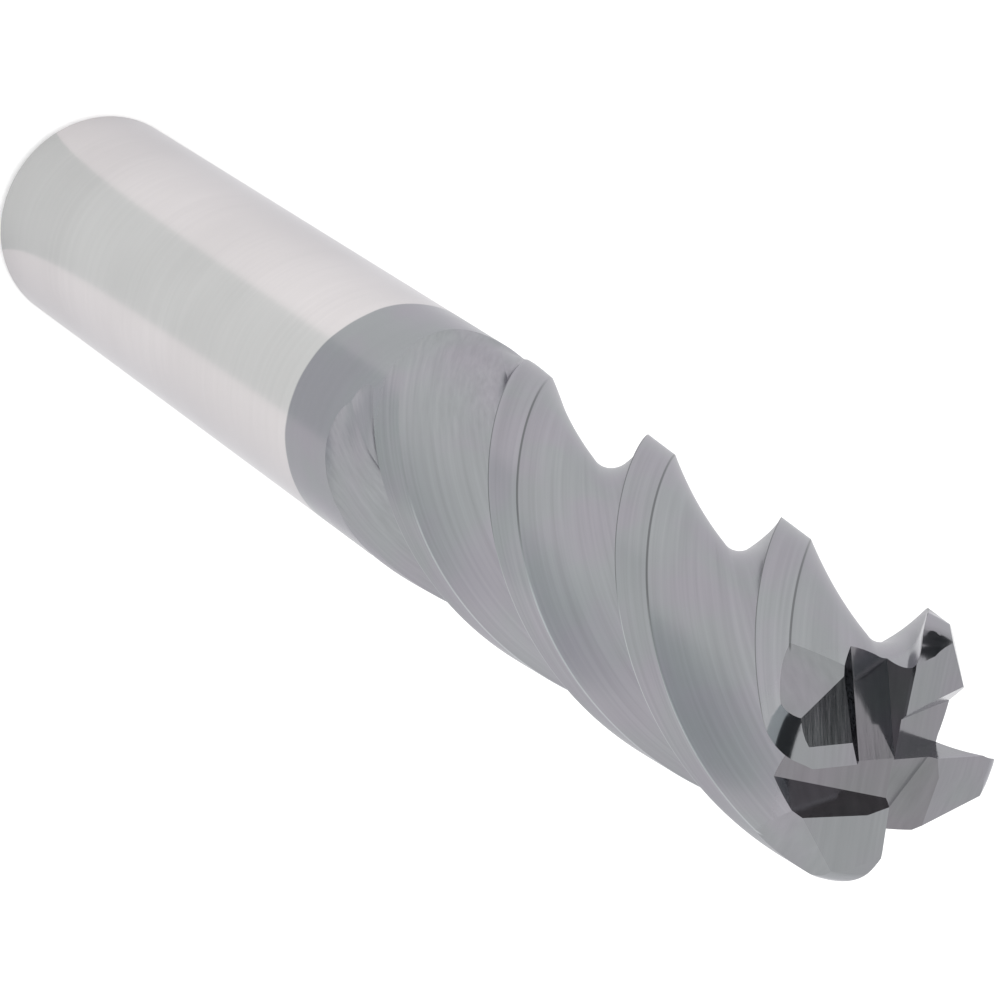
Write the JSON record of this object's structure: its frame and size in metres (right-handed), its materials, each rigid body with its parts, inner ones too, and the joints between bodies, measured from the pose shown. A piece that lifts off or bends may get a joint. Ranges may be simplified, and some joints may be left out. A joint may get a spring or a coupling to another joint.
{
  "type": "corner radius end mill",
  "caption": "Solid corner radius end mill: plain round shank, right-hand helical flutes that run out into the shank, rounded corners and gashed end teeth.",
  "frame": {"origin": "centre of the shank's flat end face", "axes": "+Z along the tool's axis, from the shank's end towards the cutting end; +X along one tooth's end cutting edge"},
  "size_m": [0.019, 0.019, 0.127],
  "materials": {
    "coated_carbide": "ground carbide, bright on the shank and grey-coated over the cutting section"
  },
  "bodies": {
    "root": {"end_mill": "coated_carbide"}
  },
  "joints": []
}
